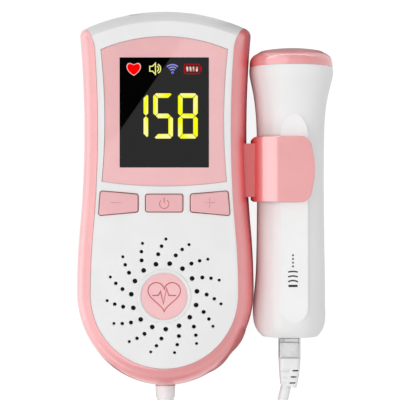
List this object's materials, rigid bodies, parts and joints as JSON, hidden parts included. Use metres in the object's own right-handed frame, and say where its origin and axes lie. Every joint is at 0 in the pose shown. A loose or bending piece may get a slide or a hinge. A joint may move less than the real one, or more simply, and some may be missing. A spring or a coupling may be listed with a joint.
{
  "type": "fetal doppler monitor",
  "caption": "Hand-held fetal doppler monitor: waisted pink and white case with display, keys and round speaker grille, and a corded ultrasound probe held in a side clip.",
  "frame": {"origin": "on the flat rear face, on the case's centre line and at its mid-length", "axes": "+X to the right seen from the display side, +Y towards the display end, +Z out of the display"},
  "size_m": [0.0927, 0.2332, 0.0311],
  "materials": {
    "white_case": "satin",
    "pink_band": "satin",
    "pink_panel": "gloss",
    "pink_clip": "satin",
    "pink_key": "satin",
    "pink_badge": "satin",
    "dark_lens": "gloss",
    "lcd_glass": "gloss",
    "backlight": "matte",
    "foam_black": "matte",
    "mesh_black": "matte",
    "board_green": "satin",
    "chip_black": "matte",
    "steel": "satin",
    "spring_steel": "satin",
    "speaker_paper": "matte",
    "magnet": "satin",
    "cell_jacket": "satin",
    "jack_black": "satin",
    "probe_white": "satin",
    "label_white": "satin",
    "head_pink": "satin",
    "lens_grey": "satin",
    "crystal": "satin",
    "backing_grey": "matte",
    "plug_clear": "gloss",
    "gold_contact": "gloss",
    "cable_white": "satin",
    "boot_white": "satin",
    "tie_white": "matte"
  },
  "bodies": {
    "unit": {"backlight_frame": "backlight", "badge_disc": "pink_badge", "battery_cell_left": "cell_jacket", "battery_cell_right": "cell_jacket", "battery_contacts": "spring_steel", "battery_springs": "spring_steel", "board_components": "chip_black", "board_screws": "steel", "case_screws": "steel", "cord_coil": "cable_white", "cord_lead_probe": "cable_white", "cord_lead_unit": "cable_white", "cord_tie": "tie_white", "display_gasket": "foam_black", "display_lens": "dark_lens", "display_panel": "pink_panel", "dust_mesh": "mesh_black", "front_cover": "white_case", "headphone_jack": "jack_black", "lcd_glass": "lcd_glass", "main_board": "board_green", "probe_clip": "pink_clip", "rear_cover": "white_case", "side_band": "pink_band", "speaker_cone": "speaker_paper", "speaker_frame": "steel", "speaker_gasket": "foam_black", "speaker_magnet": "magnet", "strain_relief": "boot_white", "tact_switches": "chip_black"},
    "probe": {"probe_front_shell": "probe_white", "probe_rear_shell": "probe_white", "probe_label_plate": "label_white", "probe_head_ring": "head_pink", "acoustic_lens": "lens_grey", "transmit_crystal": "crystal", "receive_crystal": "crystal", "crystal_backing": "backing_grey", "probe_board": "board_green", "probe_components": "chip_black", "probe_socket": "jack_black", "plug_body": "plug_clear", "plug_contacts": "gold_contact", "plug_boot": "boot_white"},
    "battery_door": {"battery_door": "white_case"},
    "key_minus": {"key_minus": "pink_key", "plunger_minus": "chip_black"},
    "key_power": {"key_power": "pink_key", "plunger_power": "chip_black"},
    "key_plus": {"key_plus": "pink_key", "plunger_plus": "chip_black"}
  },
  "joints": [
    {"name": "probe_slide", "type": "slide", "parent": "unit", "child": "probe", "axis": [1, 0, 0], "range_m": [0, 0.024]},
    {"name": "battery_door_slide", "type": "slide", "parent": "unit", "child": "battery_door", "axis": [0, 1, 0], "range_m": [0, 0.055]},
    {"name": "key_minus_press", "type": "slide", "parent": "unit", "child": "key_minus", "axis": [0, 0, -1], "range_m": [0, 0.0005], "stiffness_N_per_m": 400, "springref_m": -0.0002},
    {"name": "key_power_press", "type": "slide", "parent": "unit", "child": "key_power", "axis": [0, 0, -1], "range_m": [0, 0.0005], "stiffness_N_per_m": 400, "springref_m": -0.0002},
    {"name": "key_plus_press", "type": "slide", "parent": "unit", "child": "key_plus", "axis": [0, 0, -1], "range_m": [0, 0.0005], "stiffness_N_per_m": 400, "springref_m": -0.0002}
  ]
}
